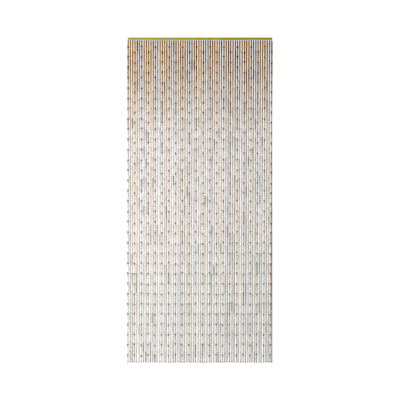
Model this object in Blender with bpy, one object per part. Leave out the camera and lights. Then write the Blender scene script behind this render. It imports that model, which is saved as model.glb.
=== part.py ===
"""Bamboo door curtain: a wooden rail with 65 strung strands of bamboo tubes hanging from it.

Every third strand has a dark wooden bead at each joint between its tubes. The rail's top face is
what a lintel holds, and the origin is the centre of that face. X runs along the rail, -Y is the
side that faces the room, and the strands hang down -Z. All sizes are in metres.
"""

import math
import random

import bmesh
import bpy
from mathutils import Vector

# The rail
RAIL_LENGTH = 0.900
RAIL_DEPTH = 0.024
RAIL_HEIGHT = 0.014
RAIL_EDGE = 0.0012

# The strands, counted from the left end of the rail, and how far they hang below it
STRANDS = 65
END_MARGIN = 0.0023
PITCH = (RAIL_LENGTH - 2 * END_MARGIN) / (STRANDS - 2)
DROP = 2.0085

# How far a strand strays from its line: along X and Y at its root and its foot, and in length
ROOT_STRAY = 0.0004
FOOT_STRAY = 0.0012
DROP_STRAY = 0.0015
STRAY_SEED = 720

# The feet hang a little to the left of the roots and a little closer together
FOOT_SHIFT = -0.007
FOOT_GATHER = 0.0035

# The last two strands share the rail's right end, the beaded one in front and the plain one behind
# it. For each: how far its root, its line's top and its foot are moved along X, and its Y.
SHARED_END = {63: (0.0, 0.0, -0.0015, -0.0055), 64: (-0.0196, -0.0153, -0.0024, 0.0056)}
SHARED_TUBES_START = 0.009

# Widths seen from the front. A strand is a three-sided prism with one edge to the front.
THREAD_WIDTH = 0.0036
TUBE_WIDTH = 0.0103
BEAD_WIDTH = 0.0118
DEPTH_PER_WIDTH = math.sqrt(3) / 2
TUBES_START = 0.0046

# The beads, on every third strand: depths below the rail of the first one and the step to the
# next, in turn, so that neighbouring beaded strands start about half a tube apart
BEADED_EVERY = 3
BEADS = 31
BEAD_HEIGHT = 0.013
FIRST_BEAD = (0.042, 0.077)
BEAD_STEP = (0.0641, 0.0627)
BEAD_STRAY = 0.0035
BEAD_SEED = 310

# The strip that the roots are fused into, a fine gap below the rail, in two halves
CLEARANCE = 0.0003
STRIP_HEIGHT = 0.002
STRIP_TOP = -RAIL_HEIGHT - CLEARANCE

BAMBOO_COLOUR = (0.43, 0.34, 0.24, 1.0)
RAIL_COLOUR = (0.36, 0.34, 0.075, 1.0)


def clear_scene():
    for obj in list(bpy.context.scene.objects):
        bpy.data.objects.remove(obj)


def finish(name, colour, roughness):
    """A plain surface finish."""
    material = bpy.data.materials.new(name)
    material.use_nodes = True
    shader = material.node_tree.nodes["Principled BSDF"]
    shader.inputs["Base Color"].default_value = colour
    shader.inputs["Roughness"].default_value = roughness
    return material


def add_object(name, bm, material):
    mesh = bpy.data.meshes.new(name)
    bm.to_mesh(mesh)
    bm.free()
    obj = bpy.data.objects.new(name, mesh)
    obj.data.materials.append(material)
    bpy.context.scene.collection.objects.link(obj)
    return obj


def make_rail(material):
    """A straight batten with eased edges, its top face at z = 0."""
    bm = bmesh.new()
    bmesh.ops.create_cube(bm, size=1.0)
    bmesh.ops.scale(bm, vec=(RAIL_LENGTH, RAIL_DEPTH, RAIL_HEIGHT), verts=bm.verts)
    bmesh.ops.translate(bm, vec=(0, 0, -RAIL_HEIGHT / 2), verts=bm.verts)
    rail = add_object("rail", bm, material)
    eased = rail.modifiers.new("eased edges", "BEVEL")
    eased.width = RAIL_EDGE
    eased.segments = 2


def row_x(strand):
    """A strand's place in the even row along the rail."""
    return -RAIL_LENGTH / 2 + END_MARGIN + strand * PITCH


def moves(strand):
    return SHARED_END.get(strand, (0.0, 0.0, 0.0, 0.0))


def root_x(strand):
    return row_x(strand) + moves(strand)[0]


def hang(strand):
    """Where a strand starts and ends: its root under the rail, and its foot."""
    draw = random.Random(STRAY_SEED + strand)
    _, top_move, foot_move, y = moves(strand)
    x = row_x(strand)
    foot_x = x + FOOT_SHIFT - FOOT_GATHER * x / (RAIL_LENGTH / 2) + foot_move
    root = Vector((x + top_move, y, -RAIL_HEIGHT))
    foot = Vector((foot_x, y, -RAIL_HEIGHT - DROP))
    root += Vector((draw.uniform(-1, 1), draw.uniform(-1, 1), 0)) * ROOT_STRAY
    foot += Vector((draw.uniform(-1, 1), draw.uniform(-1, 1), 0)) * FOOT_STRAY
    foot.z += draw.uniform(-1, 1) * DROP_STRAY
    return root, foot


def bead_depths(strand):
    """How far below the rail the beads of a strand sit, or nothing if the strand is plain."""
    if strand % BEADED_EVERY:
        return []
    draw = random.Random(BEAD_SEED + strand)
    turn = strand // BEADED_EVERY % 2
    evenly = [FIRST_BEAD[turn] + BEAD_STEP[turn] * n for n in range(BEADS)]
    return [depth + draw.uniform(-1, 1) * BEAD_STRAY for depth in evenly]


def stations(strand, length):
    """A strand's outline from its root down: how far below the rail, and its width there."""
    start = SHARED_TUBES_START if strand in SHARED_END else TUBES_START
    rows = [(start, THREAD_WIDTH), (start, TUBE_WIDTH)]
    for depth in bead_depths(strand):
        rows.append((depth - BEAD_HEIGHT / 2, TUBE_WIDTH))
        rows.append((depth, BEAD_WIDTH))
        rows.append((depth + BEAD_HEIGHT / 2, TUBE_WIDTH))
    rows.append((length, TUBE_WIDTH))
    return rows


def corners(centre, width):
    """A strand's section around a point: its front corner, then the back right and left ones."""
    back = width * DEPTH_PER_WIDTH / 2
    offsets = ((0, -back), (width / 2, back), (-width / 2, back))
    return [centre + Vector((x, y, 0)) for x, y in offsets]


def strip_outline(bm, strands, left_end, right_end, z):
    """The strip's section at height z: a face for each root, and one between neighbours."""
    back = THREAD_WIDTH * DEPTH_PER_WIDTH / 2
    edge = [bm.verts.new((left_end, -back, z)), bm.verts.new((left_end, back, z))]
    roots = []
    for strand in strands:
        centre = Vector((root_x(strand), 0, z))
        front, right, left = [bm.verts.new(corner) for corner in corners(centre, THREAD_WIDTH)]
        bm.faces.new(edge + [left, front])
        roots.append(bm.faces.new((front, left, right)))
        edge = [front, right]
    bm.faces.new(edge + [bm.verts.new((right_end, back, z)), bm.verts.new((right_end, -back, z))])
    return roots


def draw_out(bm, face, strand):
    """Extrudes a root face downwards through the strand's stations."""
    root, foot = hang(strand)
    length = root.z - foot.z
    for depth, width in stations(strand, length):
        face = bmesh.ops.extrude_discrete_faces(bm, faces=[face])["faces"][0]
        front, right, left = corners(root.lerp(foot, depth / length), width)
        # An extruded face keeps its corners in the order of the face it came from
        for loop, corner in zip(face.loops, (front, left, right)):
            loop.vert.co = corner


def make_strands(name, strands, left_end, right_end, material):
    """One half of the curtain: a strip, and the strands that stand apart below it."""
    bm = bmesh.new()
    strip_outline(bm, strands, left_end, right_end, STRIP_TOP)
    roots = strip_outline(bm, strands, left_end, right_end, STRIP_TOP - STRIP_HEIGHT)
    rims = [edge for edge in bm.edges if edge.is_boundary]
    bmesh.ops.bridge_loops(bm, edges=rims)
    for face, strand in zip(roots, strands):
        draw_out(bm, face, strand)
    bmesh.ops.recalc_face_normals(bm, faces=bm.faces)
    add_object(name, bm, material)


clear_scene()
bamboo = finish("bamboo", BAMBOO_COLOUR, 0.55)
make_rail(finish("rail wood", RAIL_COLOUR, 0.45))
half = STRANDS // 2
make_strands("strands_left", range(half), -RAIL_LENGTH / 2, -CLEARANCE, bamboo)
right_half = sorted(range(half, STRANDS), key=root_x)
make_strands("strands_right", right_half, CLEARANCE, RAIL_LENGTH / 2, bamboo)
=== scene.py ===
"""Looks of a bamboo door curtain: its rail, threads, bamboo tubes, wooden beads and end knots."""

import math
import random

import bmesh
import bpy
from mathutils import Matrix, Vector


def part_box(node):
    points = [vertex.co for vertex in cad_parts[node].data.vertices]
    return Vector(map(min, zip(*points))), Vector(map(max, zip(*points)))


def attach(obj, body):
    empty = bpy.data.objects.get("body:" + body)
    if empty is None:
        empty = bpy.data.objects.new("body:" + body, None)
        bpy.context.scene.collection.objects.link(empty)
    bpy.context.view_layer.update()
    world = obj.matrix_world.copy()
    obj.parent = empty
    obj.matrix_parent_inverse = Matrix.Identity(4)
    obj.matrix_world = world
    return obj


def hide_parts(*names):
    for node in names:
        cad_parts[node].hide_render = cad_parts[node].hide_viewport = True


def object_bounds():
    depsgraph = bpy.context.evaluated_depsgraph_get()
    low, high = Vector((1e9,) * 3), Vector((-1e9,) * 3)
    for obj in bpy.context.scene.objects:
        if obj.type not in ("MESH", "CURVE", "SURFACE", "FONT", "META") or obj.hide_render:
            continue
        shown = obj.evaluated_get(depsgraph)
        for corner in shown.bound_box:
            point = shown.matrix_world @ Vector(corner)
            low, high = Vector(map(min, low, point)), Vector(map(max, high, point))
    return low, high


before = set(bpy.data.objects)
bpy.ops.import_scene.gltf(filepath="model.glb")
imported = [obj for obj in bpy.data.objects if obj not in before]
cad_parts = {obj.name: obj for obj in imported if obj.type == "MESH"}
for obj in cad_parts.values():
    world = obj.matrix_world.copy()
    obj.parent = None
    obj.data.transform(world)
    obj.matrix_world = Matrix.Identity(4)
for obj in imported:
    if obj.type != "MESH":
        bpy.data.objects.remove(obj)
solid_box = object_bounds()

# The camera
# It looks level and straight at the curtain's front. The rail's ends and top fall on the
# photograph's own pixels, and the scale at the rail gives the distance.
PHOTO_PIXELS = 400
RAIL_LEFT_PIXEL = 127.6
RAIL_RIGHT_PIXEL = 272.4
RAIL_TOP_PIXEL = 37.48
LENS = 70.0
SENSOR = 36.0

rail_low, rail_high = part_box("rail")
metres_per_pixel = (rail_high.x - rail_low.x) / (RAIL_RIGHT_PIXEL - RAIL_LEFT_PIXEL)
rail_middle_pixel = (RAIL_LEFT_PIXEL + RAIL_RIGHT_PIXEL) / 2
camera_x = (PHOTO_PIXELS / 2 - rail_middle_pixel) * metres_per_pixel
camera_z = rail_high.z - (PHOTO_PIXELS / 2 - RAIL_TOP_PIXEL) * metres_per_pixel
camera_distance = LENS / SENSOR * PHOTO_PIXELS * metres_per_pixel
bpy.ops.object.camera_add(
    location=(camera_x, rail_low.y - camera_distance, camera_z), rotation=(math.pi / 2, 0, 0)
)
camera = bpy.context.object
camera.data.lens = LENS
camera.data.sensor_width = SENSOR
bpy.context.scene.camera = camera

# The studio
# White all round and a pale floor well below the strands' feet, with one tall soft light at the
# left that falls off towards the right. The surroundings look brighter than they shine.
WHITE = (1.0, 1.0, 1.0, 1.0)
SURROUNDINGS_SEEN = 1.05
SURROUNDINGS_SHINE = 0.36
FLOOR_BELOW_FEET = 0.32
FLOOR_SIDE = 7.0
FLOOR_COLOUR = (0.86, 0.86, 0.85, 1.0)
FLOOR_ROUGHNESS = 0.9
FLOOR_GLOW = 0.7
KEY_LIGHT_LEFT = 1.9
KEY_LIGHT_FORWARD = 1.5
KEY_LIGHT_WIDTH = 1.0
KEY_LIGHT_HEIGHT = 2.8
KEY_LIGHT_POWER = 78.0

bpy.context.scene.view_settings.view_transform = "Standard"
studio = bpy.data.worlds.new("studio")
bpy.context.scene.world = studio
studio.use_nodes = True
studio_nodes = studio.node_tree.nodes
studio_links = studio.node_tree.links
seen = studio_nodes["Background"]
seen.inputs["Color"].default_value = WHITE
seen.inputs["Strength"].default_value = SURROUNDINGS_SEEN
shine = studio_nodes.new("ShaderNodeBackground")
shine.inputs["Color"].default_value = WHITE
shine.inputs["Strength"].default_value = SURROUNDINGS_SHINE
either = studio_nodes.new("ShaderNodeMixShader")
studio_links.new(studio_nodes.new("ShaderNodeLightPath").outputs["Is Camera Ray"], either.inputs[0])
studio_links.new(shine.outputs[0], either.inputs[1])
studio_links.new(seen.outputs[0], either.inputs[2])
studio_links.new(either.outputs[0], studio_nodes["World Output"].inputs["Surface"])

bpy.ops.mesh.primitive_plane_add(size=FLOOR_SIDE, location=(0, 0, solid_box[0].z - FLOOR_BELOW_FEET))
floor = bpy.context.object
floor.name = "floor"
floor_paint = bpy.data.materials.new("pale_floor")
floor_paint.use_nodes = True
floor_shader = floor_paint.node_tree.nodes["Principled BSDF"]
floor_shader.inputs["Base Color"].default_value = FLOOR_COLOUR
floor_shader.inputs["Roughness"].default_value = FLOOR_ROUGHNESS
floor_shader.inputs["Emission Color"].default_value = WHITE
floor_shader.inputs["Emission Strength"].default_value = FLOOR_GLOW
floor.data.materials.append(floor_paint)

middle = (solid_box[0] + solid_box[1]) / 2
key_light_place = middle - Vector((KEY_LIGHT_LEFT, KEY_LIGHT_FORWARD, 0))
bpy.ops.object.light_add(type="AREA", location=key_light_place)
key_light = bpy.context.object
key_light.name = "key_light"
key_light.rotation_euler = (middle - key_light_place).to_track_quat("-Z", "Y").to_euler()
key_light.data.shape = "RECTANGLE"
key_light.data.size = KEY_LIGHT_WIDTH
key_light.data.size_y = KEY_LIGHT_HEIGHT
key_light.data.energy = KEY_LIGHT_POWER
key_light.visible_camera = False


# The rail
# A slim planed batten, stained olive green and varnished. Its imported solid has the right shape,
# so it keeps it. Towards the right end it is painted darker as painted shade, where the light from
# the left falls off. The stain is thinner along the lower front and rubbed off the edges, and the
# sawn ends show the rings of the wood.
RAIL_GRAIN = (7.0, 330.0, 330.0)
RAIL_PORES = (60.0, 2200.0, 2200.0)
RAIL_RINGS = 65.0
RAIL_RELIEF = 0.00015
RAIL_WORN_EDGE = 0.0016
THIN_STAIN_FROM = 0.010
THIN_STAIN_DOWN_TO = 0.002
SAWN_FULL = 0.0002
SAWN_REACH = 0.0006
THIN_STAIN_STRENGTH = 0.75
GRAIN_SHOWS = (0.48, 0.72)
GRAIN_STRENGTH = 0.6
PORES_SHOW = (0.58, 0.75)
PORES_STRENGTH = 0.5
PORE_RELIEF = 0.5
WORN_SHOWS = (0.55, 0.9)
SAWN_STRENGTH = 0.35
RINGS_STRENGTH = 0.5
VARNISH_ROUGHNESS = 0.36
PORE_ROUGHNESS = 0.25
VARNISH_GLOSS = 0.35
# The olive at the left end, and at the right end, where it is painted darker as painted shade
OLIVE_LEFT = (0.26, 0.25, 0.032, 1.0)
OLIVE_RIGHT = (0.22, 0.22, 0.008, 1.0)
OLIVE_DARK_GRAIN = (0.10, 0.09, 0.008, 1.0)
OLIVE_THIN = (0.46, 0.42, 0.065, 1.0)
BARE_WOOD = (0.52, 0.40, 0.20, 1.0)
END_GRAIN = (0.12, 0.085, 0.03, 1.0)


class Socket:
    """One output of a shader node. Arithmetic on it adds Math nodes."""

    def __init__(self, finish, output):
        self.finish = finish
        self.output = output

    def maths(self, operation, *values):
        return self.finish.node("Math", {"operation": operation}, dict(enumerate(values)))

    def __add__(self, other):
        return self.maths("ADD", self, other)

    def __sub__(self, other):
        return self.maths("SUBTRACT", self, other)

    def __rsub__(self, other):
        return self.maths("SUBTRACT", other, self)

    def __mul__(self, other):
        return self.maths("MULTIPLY", self, other)

    def __abs__(self):
        return self.maths("ABSOLUTE", self)

    __radd__ = __add__


class Finish:
    """A material on the Principled shader, with the one method that adds its nodes."""

    def __init__(self, name):
        self.material = bpy.data.materials.new(name)
        self.material.use_nodes = True
        self.tree = self.material.node_tree
        self.shader = self.tree.nodes["Principled BSDF"]

    def node(self, kind, settings=None, inputs=None, output=0):
        """Adds a node, makes its settings, and gives its sockets their values or links."""
        made = self.tree.nodes.new("ShaderNode" + kind)
        for name, value in (settings or {}).items():
            if name == "stops":
                self.place_stops(made.color_ramp.elements, value)
            else:
                setattr(made, name, value)
        for name, value in (inputs or {}).items():
            self.feed(made.inputs[name], value)
        return Socket(self, made.outputs[output])

    def place_stops(self, elements, stops):
        while len(elements) < len(stops):
            elements.new(1.0)
        for element, (position, colour) in zip(elements, stops):
            element.position = position
            element.color = colour

    def feed(self, socket, value):
        if isinstance(value, Socket):
            self.tree.links.new(value.output, socket)
        else:
            socket.default_value = value

    def place(self, axis=None):
        """The point on the piece in metres, or one of its coordinates."""
        point = self.node("TexCoord", output="Object")
        return self.node("SeparateXYZ", None, {"Vector": point}, axis) if axis else point

    def noise(self, scale, detail=2.0, roughness=0.5):
        """Cloudy noise from 0 to 1 whose grains are 1 / scale metres along each axis."""
        stretched = self.node("Mapping", None, {"Vector": self.place(), "Scale": scale})
        sizes = {"Scale": 1.0, "Detail": detail, "Roughness": roughness}
        return self.node("TexNoise", None, {"Vector": stretched, **sizes})

    def rise(self, value, start, end):
        """Goes smoothly from 0 to 1 as the value goes from start to end."""
        ends = {"Value": value, "From Min": start, "From Max": end}
        return self.node("MapRange", {"interpolation_type": "SMOOTHSTEP"}, ends)

    def mix(self, factor, first, second, blend="MIX"):
        """Two colours, the second one by the factor."""
        settings = {"data_type": "RGBA", "blend_type": blend}
        return self.node("Mix", settings, {0: factor, 6: first, 7: second}, 2)

    def ramp(self, value, stops):
        """A colour for each value, run smoothly between the stops."""
        return self.node("ValToRGB", {"stops": stops}, {"Fac": value})

    def bump(self, height, distance):
        return self.node("Bump", None, {"Height": height, "Distance": distance}, "Normal")

    def coat(self, colour, roughness, normal, gloss):
        self.feed(self.shader.inputs["Base Color"], colour)
        self.feed(self.shader.inputs["Roughness"], roughness)
        self.feed(self.shader.inputs["Normal"], normal)
        self.feed(self.shader.inputs["Specular IOR Level"], gloss)


olive = Finish("olive_varnished_wood")
grain = olive.noise(RAIL_GRAIN, detail=4.0, roughness=0.6)
pores = olive.noise(RAIL_PORES, detail=2.0)
towards_right = olive.rise(olive.place("X"), rail_low.x, rail_high.x)
# Darker towards the right end: painted shade, where the light from the left falls off
stain_and_shade = olive.mix(towards_right, OLIVE_LEFT, OLIVE_RIGHT)
above_bottom = olive.place("Z") - rail_low.z
lower_front = 1 - olive.rise(above_bottom, THIN_STAIN_DOWN_TO, THIN_STAIN_FROM)
stain_and_shade = olive.mix(lower_front * THIN_STAIN_STRENGTH, stain_and_shade, OLIVE_THIN)
stain_and_shade = olive.mix(olive.rise(grain, *GRAIN_SHOWS) * GRAIN_STRENGTH, stain_and_shade, OLIVE_DARK_GRAIN)
stain_and_shade = olive.mix(olive.rise(pores, *PORES_SHOW) * PORES_STRENGTH, stain_and_shade, OLIVE_DARK_GRAIN)
from_side = rail_high.y - abs(olive.place("Y"))
from_face = (rail_high.z - rail_low.z) / 2 - abs(olive.place("Z") - (rail_low.z + rail_high.z) / 2)
at_edge = (1 - olive.rise(from_side, 0, RAIL_WORN_EDGE)) * (1 - olive.rise(from_face, 0, RAIL_WORN_EDGE))
wood_relief = grain + pores * PORE_RELIEF
stain_and_shade = olive.mix(at_edge * olive.rise(wood_relief, *WORN_SHOWS), stain_and_shade, BARE_WOOD)
from_end = rail_high.x - abs(olive.place("X"))
sawn = 1 - olive.rise(from_end, SAWN_FULL, SAWN_REACH)
rings = olive.node(
    "TexWave", {"wave_type": "RINGS", "rings_direction": "X"},
    {"Vector": olive.place(), "Scale": RAIL_RINGS, "Distortion": 2.0, "Detail": 2.0}, "Fac",
)
stain_and_shade = olive.mix(sawn * (SAWN_STRENGTH + rings * RINGS_STRENGTH), stain_and_shade, END_GRAIN)
varnish = VARNISH_ROUGHNESS + pores * PORE_ROUGHNESS
olive.coat(stain_and_shade, varnish, olive.bump(wood_relief, RAIL_RELIEF), VARNISH_GLOSS)
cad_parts["rail"].material_slots[0].material = olive.material


# The bamboo tubes
# Thin canes cut into short tubes and threaded end to end. They hang from the rail in 65 strands,
# and on every third strand a bead parts each tube from the next. The cut ends and knuckles are a
# little scorched, the bores are painted dark as painted shade inside them, and near the rail the
# tube ends beside beads are darker. Strands hang where their solids do: values down to BEAD_SEED
# are the solids' own.
RAIL_LENGTH = 0.900
RAIL_HEIGHT = 0.014
STRANDS = 65
END_MARGIN = 0.0023
PITCH = (RAIL_LENGTH - 2 * END_MARGIN) / (STRANDS - 2)
DROP = 2.0085
ROOT_STRAY = 0.0004
FOOT_STRAY = 0.0012
DROP_STRAY = 0.0015
STRAY_SEED = 720
FOOT_SHIFT = -0.007
FOOT_GATHER = 0.0035
# The last two strands share the rail's right end, the beaded one in front and the plain one behind
# it. For each: how far its root, its line's top and its foot are moved along X, and its Y.
SHARED_END = {63: (0.0, 0.0, -0.0015, -0.0055), 64: (-0.0196, -0.0153, -0.0024, 0.0056)}
SHARED_TUBES_START = 0.009
TUBES_START = 0.0046
BEADED_EVERY = 3
BEADS = 31
BEAD_HEIGHT = 0.013
FIRST_BEAD = (0.042, 0.077)
BEAD_STEP = (0.0641, 0.0627)
BEAD_STRAY = 0.0035
BEAD_SEED = 310
HALVES = {"left": range(STRANDS // 2), "right": range(STRANDS // 2, STRANDS)}

KNOT_HEIGHT = 0.0072
TUBE_WIDTH = 0.0103
TUBE_WIDTH_RANGE = (0.95, 1.05)
TUBE_WALL = 0.0018
TUBE_LENGTH = 0.061
TUBE_LENGTH_RANGE = (0.057, 0.065)
TUBE_SIDES = 10
TUBE_GAP = 0.0004
BORE_DEPTH = 0.006
BORE_TAPER = 0.00005
CUT_EDGE = 0.0005
KNUCKLE_REACH = 0.0032
KNUCKLE_SWELL = 1.09
HIGH_KNUCKLE = 0.019
MIDDLE_KNUCKLE = -0.006
BOW = 0.0006
TUBE_SMOOTH_ANGLE = math.radians(40)
LEVEL_FACE = 0.9
OUTERMOST = 0.99
WALL_INSIDE = 0.9
# The attribute "along" runs from -1 to 1 between a tube's ends, and its size is this in the bore
IN_BORE = 1.3
TUBE_SEED = 4100
DARK_TUBES = 0.05
DARK_TUBE_TONES = (0.7, 0.95)
TUBE_TONES = (0.05, 0.60, 0.25)
STRAND_TONES = (-0.16, 0.34, -0.06)
# Painted shade: each strand's tone is darker the further right it hangs, where the light from the left
# falls off
PAINTED_SHADE_TO_THE_RIGHT = 0.16
# The outermost strands: how much their tone is moved, where less is paler, and how wide they are
# Strand 64 is painted paler as painted light, making up for the shadow the beaded strand in front casts
# on it
END_STRANDS = {0: (-0.25, 1.0), 63: (-0.15, 1.0), 64: (-0.45, 0.82)}
TUBE_PIECES = 8
# The models to draw from: 0 is straight, 1 bowed, 2 with a high knuckle and 3 with a middle one
TUBE_CHOICE = (0, 0, 1, 1, 1, 2, 3)

TUBE_FIBRES = (1500.0, 1500.0, 22.0)
TUBE_STREAKS = (520.0, 520.0, 9.0)
TUBE_CLOUDS = (70.0, 70.0, 26.0)
TUBE_FLECKS = (900.0, 900.0, 260.0)
TUBE_RELIEF = 0.00012
STREAK_RELIEF = 0.6
STREAK_SHADE = 0.42
CLOUD_SHADE = 0.5
FIBRE_SHADE = 0.3
CANE_ROUGHNESS = 0.42
FIBRE_ROUGHNESS = 0.2
CANE_GLOSS = 0.16
PALE_FROM_DEPTH = 0.70
WARM_TONES = (
    (0.0, (0.40, 0.215, 0.012, 1.0)),
    (0.40, (0.24, 0.106, 0.002, 1.0)),
    (0.75, (0.14, 0.053, 0.001, 1.0)),
    (1.0, (0.06, 0.023, 0.001, 1.0)),
)
PALE_TONES = (
    (0.0, (0.60, 0.55, 0.51, 1.0)),
    (0.40, (0.49, 0.44, 0.395, 1.0)),
    (0.75, (0.37, 0.33, 0.285, 1.0)),
    (1.0, (0.25, 0.215, 0.175, 1.0)),
)
GREYED_FEET = (0.88, 0.94, 0.98, 1.0)
GREYED_REACH = 0.95
TINTS = (
    (0.0, (0.88, 1.0, 0.72, 1.0)),
    (0.5, (1.0, 1.0, 1.0, 1.0)),
    (1.0, (1.0, 0.88, 0.88, 1.0)),
)
TINT_AT_RAIL = 0.9
TINT_LOW_DOWN = 0.3
# The colour of the scorch marks, and of the painted shade inside the bores
SCORCH_AND_BORE_SHADE = (0.045, 0.025, 0.012, 1.0)
# Where a mark starts and where it is full, on the noise for flecks and on "along" for the rest
FLECKS_SHOW = (0.68, 0.78)
CUT_ENDS = (0.93, 1.0)
ENDS_BY_BEADS = (0.84, 0.97)
# In the bore the mark is painted shade, standing in for the shade inside the hollow
BORE = (1.0, 1.25)
BY_BEADS_STRENGTH = 0.8
BORE_STRENGTH = 0.9
# How strongly a mark shows low down, and how much more at the rail
FLECK_STRENGTH = (0.2, 0.3)
KNUCKLE_STRENGTH = (0.3, 0.3)
CUT_END_STRENGTH = (0.2, 0.25)


def row_x(strand):
    """A strand's place in the even row along the rail."""
    return -RAIL_LENGTH / 2 + END_MARGIN + strand * PITCH


def moves(strand):
    return SHARED_END.get(strand, (0.0, 0.0, 0.0, 0.0))


def root_x(strand):
    return row_x(strand) + moves(strand)[0]


def hang(strand):
    """Where a strand starts and ends: its root under the rail, and its foot."""
    draw = random.Random(STRAY_SEED + strand)
    _, top_move, foot_move, y = moves(strand)
    x = row_x(strand)
    foot_x = x + FOOT_SHIFT - FOOT_GATHER * x / (RAIL_LENGTH / 2) + foot_move
    root = Vector((x + top_move, y, -RAIL_HEIGHT))
    foot = Vector((foot_x, y, -RAIL_HEIGHT - DROP))
    root += Vector((draw.uniform(-1, 1), draw.uniform(-1, 1), 0)) * ROOT_STRAY
    foot += Vector((draw.uniform(-1, 1), draw.uniform(-1, 1), 0)) * FOOT_STRAY
    foot.z += draw.uniform(-1, 1) * DROP_STRAY
    return root, foot


def along_strand(strand, depth):
    """The point on a strand's middle line at a depth below the rail."""
    root, foot = hang(strand)
    return root.lerp(foot, depth / (root.z - foot.z))


def bead_depths(strand):
    """How far below the rail the beads of a strand sit, or nothing if the strand is plain."""
    if strand % BEADED_EVERY:
        return []
    draw = random.Random(BEAD_SEED + strand)
    turn = strand // BEADED_EVERY % 2
    evenly = [FIRST_BEAD[turn] + BEAD_STEP[turn] * n for n in range(BEADS)]
    return [depth + draw.uniform(-1, 1) * BEAD_STRAY for depth in evenly]


def tubes_start(strand):
    return SHARED_TUBES_START if strand in SHARED_END else TUBES_START


def tube_spans(strand, draw):
    """The depths below the rail between which each tube of a strand runs."""
    root, foot = hang(strand)
    start = tubes_start(strand)
    bottom = root.z - foot.z - KNOT_HEIGHT
    beads = bead_depths(strand)
    if beads:
        tops = [start] + [depth + BEAD_HEIGHT / 2 for depth in beads]
        return list(zip(tops, [depth - BEAD_HEIGHT / 2 for depth in beads] + [bottom]))
    count = round((bottom - start) / TUBE_LENGTH)
    lengths = [draw.uniform(*TUBE_LENGTH_RANGE) for _ in range(count)]
    fit = (bottom - start) / sum(lengths)
    cuts = [start + fit * sum(lengths[:n]) for n in range(count + 1)]
    return [(top + TUBE_GAP / 2, low - TUBE_GAP / 2) for top, low in zip(cuts, cuts[1:])]


def edit(piece, kind):
    """Goes into edit mode with nothing selected, to work on faces, edges or corners."""
    bpy.ops.object.select_all(action="DESELECT")
    piece.select_set(True)
    bpy.context.view_layer.objects.active = piece
    bpy.ops.object.mode_set(mode="EDIT")
    bpy.ops.mesh.select_mode(type=kind)
    bpy.ops.mesh.select_all(action="DESELECT")


def pick(piece, kind, wanted):
    """Selects the faces, edges or corners of the piece being edited that pass a test."""
    mesh = bmesh.from_edit_mesh(piece.data)
    for part in getattr(mesh, kind):
        part.select_set(wanted(part))
    mesh.select_flush_mode()
    bmesh.update_edit_mesh(piece.data)


def write_attribute(piece, name, values):
    """Gives each corner point of a piece a number that its material can read."""
    attributes = piece.data.attributes
    attribute = attributes.get(name) or attributes.new(name, "FLOAT", "POINT")
    attribute.data.foreach_set("value", values)


def model_tube(name, knuckle=None, bow=0.0):
    """A tube standing on its middle, with a knuckle at a height if it has one."""
    bpy.ops.mesh.primitive_cylinder_add(
        vertices=TUBE_SIDES, radius=TUBE_WIDTH / 2, depth=TUBE_LENGTH, end_fill_type="NGON"
    )
    tube = bpy.context.object
    tube.name = name
    edit(tube, "FACE")
    pick(tube, "faces", lambda face: abs(face.normal.z) > LEVEL_FACE)
    bpy.ops.mesh.inset(thickness=TUBE_WALL)
    bpy.ops.mesh.inset(thickness=BORE_TAPER, depth=-BORE_DEPTH)
    bpy.ops.mesh.select_mode(type="EDGE")
    rim = TUBE_WIDTH / 2 * OUTERMOST
    end = TUBE_LENGTH / 2 * OUTERMOST

    def on_rim(edge):
        return all(abs(v.co.z) > end and math.hypot(v.co.x, v.co.y) > rim for v in edge.verts)

    pick(tube, "edges", on_rim)
    bpy.ops.mesh.bevel(offset=CUT_EDGE, segments=1, affect="EDGES")
    bpy.ops.mesh.select_mode(type="VERT")
    has_knuckle = knuckle is not None
    rings = [0.0] if bow else []
    if has_knuckle:
        rings = [knuckle - KNUCKLE_REACH, knuckle, knuckle + KNUCKLE_REACH]
    for height in rings:
        bpy.ops.mesh.select_all(action="SELECT")
        bpy.ops.mesh.bisect(plane_co=(0, 0, height), plane_no=(0, 0, 1))
    if has_knuckle:
        pick(tube, "verts", lambda v: abs(v.co.z - knuckle) < KNUCKLE_REACH / 2)
        swell = (KNUCKLE_SWELL, KNUCKLE_SWELL, 1)
        bpy.ops.transform.resize(value=swell, center_override=(0, 0, knuckle))
    elif bow:
        pick(tube, "verts", lambda v: abs(v.co.z) < KNUCKLE_REACH)
        bpy.ops.transform.translate(value=(bow, 0, 0))
    bpy.ops.object.mode_set(mode="OBJECT")
    bpy.ops.object.shade_smooth_by_angle(angle=TUBE_SMOOTH_ANGLE)
    bore = TUBE_WIDTH / 2 - TUBE_WALL * WALL_INSIDE
    points = [vert.co for vert in tube.data.vertices]
    inside = [math.hypot(p.x - bow * (abs(p.z) < end / 2), p.y) < bore for p in points]
    write_attribute(tube, "along", [
        math.copysign(IN_BORE, p.z) if hidden else p.z / (TUBE_LENGTH / 2)
        for p, hidden in zip(points, inside)
    ])
    write_attribute(tube, "knuckle", [
        float(has_knuckle and abs(p.z - knuckle) < KNUCKLE_REACH / 2) for p in points
    ])
    return tube


def strung(model, top, bottom, model_length, width=1.0, spin=0.0, **numbers):
    """A copy of a model that runs between two points, turned about its own length."""
    copy = model.copy()
    copy.data = model.data.copy()
    bpy.context.scene.collection.objects.link(copy)
    turned = (top - bottom).to_track_quat("Z", "Y").to_matrix().to_4x4()
    stretch = Matrix.Diagonal((width, width, (top - bottom).length / model_length, 1))
    placed = Matrix.Translation((top + bottom) / 2) @ turned @ Matrix.Rotation(spin, 4, "Z") @ stretch
    copy.data.transform(placed)
    for name, number in numbers.items():
        write_attribute(copy, name, [number] * len(copy.data.vertices))
    return copy


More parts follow.
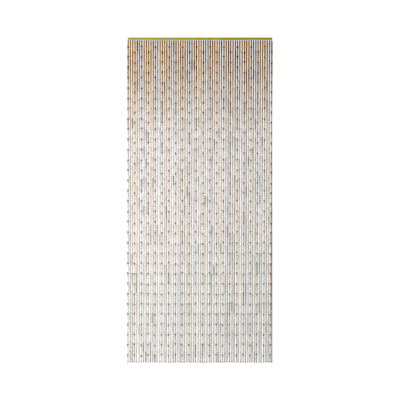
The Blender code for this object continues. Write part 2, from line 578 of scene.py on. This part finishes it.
def joined(name, copies, finish):
    """One piece made of many copies, on the root body."""
    bpy.ops.object.select_all(action="DESELECT")
    for copy in copies:
        copy.select_set(True)
    bpy.context.view_layer.objects.active = copies[0]
    bpy.ops.object.join()
    piece = bpy.context.object
    piece.name = name
    piece.data.name = name
    piece.data.materials.clear()
    piece.data.materials.append(finish.material)
    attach(piece, "root")
    return piece


def nearness_to_rail(finish, pale_from_depth=PALE_FROM_DEPTH):
    """1 at the rail, where the colours are deepest, and 0 from the depth where they are palest."""
    return finish.rise(finish.place("Z"), -RAIL_HEIGHT - pale_from_depth, -RAIL_HEIGHT)


def strength(near, low_down, more_at_rail):
    """How strongly a mark shows at each height."""
    return low_down + near * more_at_rail


bamboo = Finish("bamboo")
tone = bamboo.node("Attribute", {"attribute_name": "tone"}, output="Fac")
tint = bamboo.node("Attribute", {"attribute_name": "tint"}, output="Fac")
along = abs(bamboo.node("Attribute", {"attribute_name": "along"}, output="Fac"))
knuckle = bamboo.node("Attribute", {"attribute_name": "knuckle"}, output="Fac")
by_beads = bamboo.node("Attribute", {"attribute_name": "by_beads"}, output="Fac")
fibres = bamboo.noise(TUBE_FIBRES, detail=3.0, roughness=0.6)
streaks = bamboo.noise(TUBE_STREAKS, detail=2.0)
clouds = bamboo.noise(TUBE_CLOUDS, detail=3.0)
flecks = bamboo.noise(TUBE_FLECKS, detail=1.0)
near = nearness_to_rail(bamboo)
shade = tone + (streaks - 0.5) * STREAK_SHADE + (clouds - 0.5) * CLOUD_SHADE
shade = shade + (fibres - 0.5) * FIBRE_SHADE
cane = bamboo.mix(near, bamboo.ramp(shade, PALE_TONES), bamboo.ramp(shade, WARM_TONES))
feet = -RAIL_HEIGHT - DROP
greyed = bamboo.rise(bamboo.place("Z"), feet + GREYED_REACH, feet)
cane = bamboo.mix(greyed, cane, GREYED_FEET, "MULTIPLY")
tinted = TINT_LOW_DOWN + near * (TINT_AT_RAIL - TINT_LOW_DOWN)
cane = bamboo.mix(tinted, cane, bamboo.ramp(tint, TINTS), "MULTIPLY")
# The dark marks: scorch, darker tube ends beside beads, and painted shade inside the bores
dark_marks = (
    bamboo.rise(flecks, *FLECKS_SHOW) * strength(near, *FLECK_STRENGTH),
    knuckle * strength(near, *KNUCKLE_STRENGTH),
    bamboo.rise(along, *CUT_ENDS) * strength(near, *CUT_END_STRENGTH),
    # Near the rail, the tube ends beside beads are darker
    bamboo.rise(along, *ENDS_BY_BEADS) * near * by_beads * BY_BEADS_STRENGTH,
    # Painted shade inside the bore
    bamboo.rise(along, *BORE) * BORE_STRENGTH,
)
for dark_mark in dark_marks:
    cane = bamboo.mix(dark_mark, cane, SCORCH_AND_BORE_SHADE)
cane_relief = bamboo.bump(fibres + streaks * STREAK_RELIEF, TUBE_RELIEF)
bamboo.coat(cane, CANE_ROUGHNESS + fibres * FIBRE_ROUGHNESS, cane_relief, CANE_GLOSS)

tube_models = [
    model_tube("straight_tube"),
    model_tube("bowed_tube", bow=BOW),
    model_tube("high_knuckle_tube", knuckle=HIGH_KNUCKLE),
    model_tube("middle_knuckle_tube", knuckle=MIDDLE_KNUCKLE),
]
for number in range(TUBE_PIECES):
    first = STRANDS * number // TUBE_PIECES
    copies = []
    for strand in range(first, STRANDS * (number + 1) // TUBE_PIECES):
        draw = random.Random(TUBE_SEED + strand)
        # The strand's tone takes in the painted shade towards the right
        strand_tone = draw.triangular(*STRAND_TONES) + PAINTED_SHADE_TO_THE_RIGHT * strand / STRANDS
        tone_move, slimmer = END_STRANDS.get(strand, (0.0, 1.0))
        # For strand 64 the move is painted light against the shadow of the strand in front
        strand_tone += tone_move
        is_beaded = float(strand % BEADED_EVERY == 0)
        for top, bottom in tube_spans(strand, draw):
            model = tube_models[draw.choice(TUBE_CHOICE)]
            width = draw.uniform(*TUBE_WIDTH_RANGE) * slimmer
            spin = draw.uniform(0, 2 * math.pi)
            is_dark = draw.random() < DARK_TUBES
            cane_tone = draw.uniform(*DARK_TUBE_TONES) if is_dark else draw.triangular(*TUBE_TONES)
            ends = along_strand(strand, top), along_strand(strand, bottom)
            shades = {"tone": cane_tone + strand_tone, "tint": draw.random(), "by_beads": is_beaded}
            copies.append(strung(model, *ends, TUBE_LENGTH, width, spin, **shades))
    tubes = joined(f"tubes_{number + 1}", copies, bamboo)
    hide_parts("strands_left" if first in HALVES["left"] else "strands_right")
for model in tube_models:
    bpy.data.objects.remove(model)


# The beads
# Turned wooden beads, a little taller than wide, dyed nearly black and waxed. Each sits on the
# thread between two tubes. Lower down they are paler, changing more slowly than the bamboo.
BEAD_WIDTH = 0.0126
BEAD_WIDTH_RANGE = (0.96, 1.0)
BEAD_ROUND_HEIGHT = 0.0158
BEAD_SEGMENTS = 12
BEAD_RINGS = 8
BEAD_HOLE_RIM = 0.0007
BEAD_HOLE_ROUNDING = 0.00025
BEAD_HOLE_TAPER = 0.0001
BEAD_HOLE_DEPTH = 0.002
BEAD_CAP = 0.98
BEAD_SMOOTH_ANGLE = math.radians(50)
BEAD_LOOK_SEED = BEAD_SEED * 2
BEAD_RELIEF = 0.00008
BEAD_GRAIN = (900.0, 900.0, 160.0)
BEAD_PALE_FROM_DEPTH = 0.78
DYE_DARK = (0.003, 0.002, 0.001, 1.0)
BEAD_PALE = (0.20, 0.185, 0.17, 1.0)
DYE_WORN = (0.032, 0.016, 0.008, 1.0)
WORN_ON_GRAIN = (0.55, 0.95)
WORN_AT_ENDS = (0.82, 1.0)
WORN_STRENGTH = 0.4
BEAD_TONE_SHARE = 0.3
WAX_ROUGHNESS = 0.44
WAX_GRAIN = 0.2
WAX_GLOSS = 0.04

bpy.ops.mesh.primitive_uv_sphere_add(segments=BEAD_SEGMENTS, ring_count=BEAD_RINGS, radius=1.0)
bead = bpy.context.object
edit(bead, "FACE")
bpy.ops.mesh.select_all(action="SELECT")
bpy.ops.transform.resize(value=(BEAD_WIDTH / 2, BEAD_WIDTH / 2, BEAD_ROUND_HEIGHT / 2))
cap_height = BEAD_ROUND_HEIGHT / 2 * math.cos(math.pi / BEAD_RINGS) * BEAD_CAP
pick(bead, "faces", lambda face: all(abs(vert.co.z) > cap_height for vert in face.verts))
bpy.ops.mesh.inset(thickness=BEAD_HOLE_RIM, depth=-BEAD_HOLE_ROUNDING)
bpy.ops.mesh.inset(thickness=BEAD_HOLE_TAPER, depth=-BEAD_HOLE_DEPTH)
bpy.ops.object.mode_set(mode="OBJECT")
bpy.ops.object.shade_smooth_by_angle(angle=BEAD_SMOOTH_ANGLE)
write_attribute(bead, "along", [vert.co.z / (BEAD_HEIGHT / 2) for vert in bead.data.vertices])

dyed = Finish("dyed_bead_wood")
bead_tone = dyed.node("Attribute", {"attribute_name": "tone"}, output="Fac")
bead_along = abs(dyed.node("Attribute", {"attribute_name": "along"}, output="Fac"))
bead_grain = dyed.noise(BEAD_GRAIN, detail=3.0)
dye = dyed.mix(nearness_to_rail(dyed, BEAD_PALE_FROM_DEPTH), BEAD_PALE, DYE_DARK)
worn_grain = dyed.rise(bead_grain + bead_tone * BEAD_TONE_SHARE, *WORN_ON_GRAIN)
dye = dyed.mix(worn_grain * WORN_STRENGTH, dye, DYE_WORN)
dye = dyed.mix(dyed.rise(bead_along, *WORN_AT_ENDS) * WORN_STRENGTH, dye, DYE_WORN)
wax = WAX_ROUGHNESS + bead_grain * WAX_GRAIN
dyed.coat(dye, wax, dyed.bump(bead_grain, BEAD_RELIEF), WAX_GLOSS)

for half, strands in HALVES.items():
    copies = []
    for strand in strands:
        draw = random.Random(BEAD_LOOK_SEED + strand)
        for depth in bead_depths(strand):
            top = along_strand(strand, depth - BEAD_HEIGHT / 2)
            bottom = along_strand(strand, depth + BEAD_HEIGHT / 2)
            width = draw.uniform(*BEAD_WIDTH_RANGE)
            spin = draw.uniform(0, 2 * math.pi)
            copies.append(strung(bead, top, bottom, BEAD_HEIGHT, width, spin, tone=draw.random()))
    beads = joined("beads_" + half, copies, dyed)
    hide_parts("strands_" + half)
bpy.data.objects.remove(bead)


# The threads
# Twisted cotton twine, dusty mauve. It runs down inside each strand, and shows as two legs of one
# loop between the rail and the first tube.
THREAD_WIDTH = 0.0012
THREAD_SIDES = 6
THREAD_SMOOTH_ANGLE = math.radians(70)
LEG_SPREAD = 0.0030
LEG_REACH = 0.0030
TWINE_TWIST = (900.0, 900.0, 900.0)
TWINE_RELIEF = 0.0002
TWINE_ROUGHNESS = 0.85
TWINE_GLOSS = 0.2
MAUVE = (0.30, 0.16, 0.15, 1.0)
MAUVE_SHADE = (0.13, 0.06, 0.06, 1.0)
PALE_MAUVE = (0.46, 0.44, 0.43, 1.0)
PALE_MAUVE_DARKER = (0.22, 0.21, 0.20, 1.0)

bpy.ops.mesh.primitive_cylinder_add(
    vertices=THREAD_SIDES, radius=THREAD_WIDTH / 2, depth=1.0, end_fill_type="NGON"
)
thread = bpy.context.object
bpy.ops.object.shade_smooth_by_angle(angle=THREAD_SMOOTH_ANGLE)

twine = Finish("mauve_twine")
twist = twine.noise(TWINE_TWIST, detail=2.0)
deep_twine = twine.mix(twist, MAUVE_SHADE, MAUVE)
pale_twine = twine.mix(twist, PALE_MAUVE_DARKER, PALE_MAUVE)
spun = twine.mix(nearness_to_rail(twine), pale_twine, deep_twine)
twine.coat(spun, TWINE_ROUGHNESS, twine.bump(twist, TWINE_RELIEF), TWINE_GLOSS)

for half, strands in HALVES.items():
    copies = []
    for strand in strands:
        root, foot = hang(strand)
        knot = along_strand(strand, root.z - foot.z - KNOT_HEIGHT / 2)
        mouth = along_strand(strand, tubes_start(strand) + LEG_REACH)
        copies.append(strung(thread, mouth, knot, 1.0))
        for side in (-1, 1):
            hole = Vector((root_x(strand) + side * LEG_SPREAD / 2, 0, root.z))
            inside = mouth + Vector((side * THREAD_WIDTH / 2, 0, 0))
            copies.append(strung(thread, hole, inside, 1.0))
    threads = joined("threads_" + half, copies, twine)
    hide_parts("strands_" + half)
bpy.data.objects.remove(thread)


# The end knots
# The twine is wound and knotted into a ball under the lowest tube, so that the tubes can't slide
# off, and cut short below it in two tails.
KNOT_CORE = 0.0036
KNOT_CORE_SEGMENTS = 10
KNOT_CORE_RINGS = 6
KNOT_LOOP = 0.0044
KNOT_TURN = 0.0012
KNOT_TURN_SEGMENTS = 12
KNOT_TURN_SIDES = 5
# How far each turn of twine leans forwards and sideways, in degrees
KNOT_TURNS = ((14, 0), (-11, 6), (19, 4), (-16, 3))
KNOT_ROUNDNESS = 1.4
KNOT_WIDTH_RANGE = (0.95, 1.10)
KNOT_SEED = STRAY_SEED * 2
KNOT_SMOOTH_ANGLE = math.radians(60)
TAIL_LENGTH = 0.009
TAIL_SPLAY = math.radians(9)
TAIL_SIDES = 5
TAIL_TIP_RADIUS = THREAD_WIDTH / 3
TAIL_BELOW_KNOT = TAIL_LENGTH / 3

bpy.ops.mesh.primitive_uv_sphere_add(
    segments=KNOT_CORE_SEGMENTS, ring_count=KNOT_CORE_RINGS, radius=KNOT_CORE
)
knot_parts = [bpy.context.object]
for turn, (forward_lean, side_lean) in enumerate(KNOT_TURNS):
    from_middle = (turn - (len(KNOT_TURNS) - 1) / 2) / len(KNOT_TURNS)
    bpy.ops.mesh.primitive_torus_add(
        major_radius=KNOT_LOOP * math.cos(from_middle * KNOT_ROUNDNESS), minor_radius=KNOT_TURN,
        major_segments=KNOT_TURN_SEGMENTS, minor_segments=KNOT_TURN_SIDES,
        location=(0, 0, from_middle * (KNOT_HEIGHT - KNOT_TURN)),
        rotation=(math.radians(forward_lean), math.radians(side_lean), 0),
    )
    knot_parts.append(bpy.context.object)
for side in (-1, 1):
    bpy.ops.mesh.primitive_cone_add(
        vertices=TAIL_SIDES, radius1=TAIL_TIP_RADIUS, radius2=THREAD_WIDTH / 2, depth=TAIL_LENGTH,
        location=(side * THREAD_WIDTH, 0, -KNOT_HEIGHT / 2 - TAIL_BELOW_KNOT),
        rotation=(0, -side * TAIL_SPLAY, 0),
    )
    knot_parts.append(bpy.context.object)
bpy.ops.object.select_all(action="DESELECT")
for part in knot_parts:
    part.select_set(True)
bpy.context.view_layer.objects.active = knot_parts[0]
bpy.ops.object.transform_apply(location=True, rotation=True, scale=True)
bpy.ops.object.join()
bpy.ops.object.shade_smooth_by_angle(angle=KNOT_SMOOTH_ANGLE)
knot_model = bpy.context.object

for half, strands in HALVES.items():
    copies = []
    for strand in strands:
        draw = random.Random(KNOT_SEED + strand)
        root, foot = hang(strand)
        top = along_strand(strand, root.z - foot.z - KNOT_HEIGHT)
        spin = draw.uniform(0, 2 * math.pi)
        width = draw.uniform(*KNOT_WIDTH_RANGE)
        copies.append(strung(knot_model, top, foot, KNOT_HEIGHT, width, spin))
    knots = joined("knots_" + half, copies, twine)
    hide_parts("strands_" + half)
bpy.data.objects.remove(knot_model)
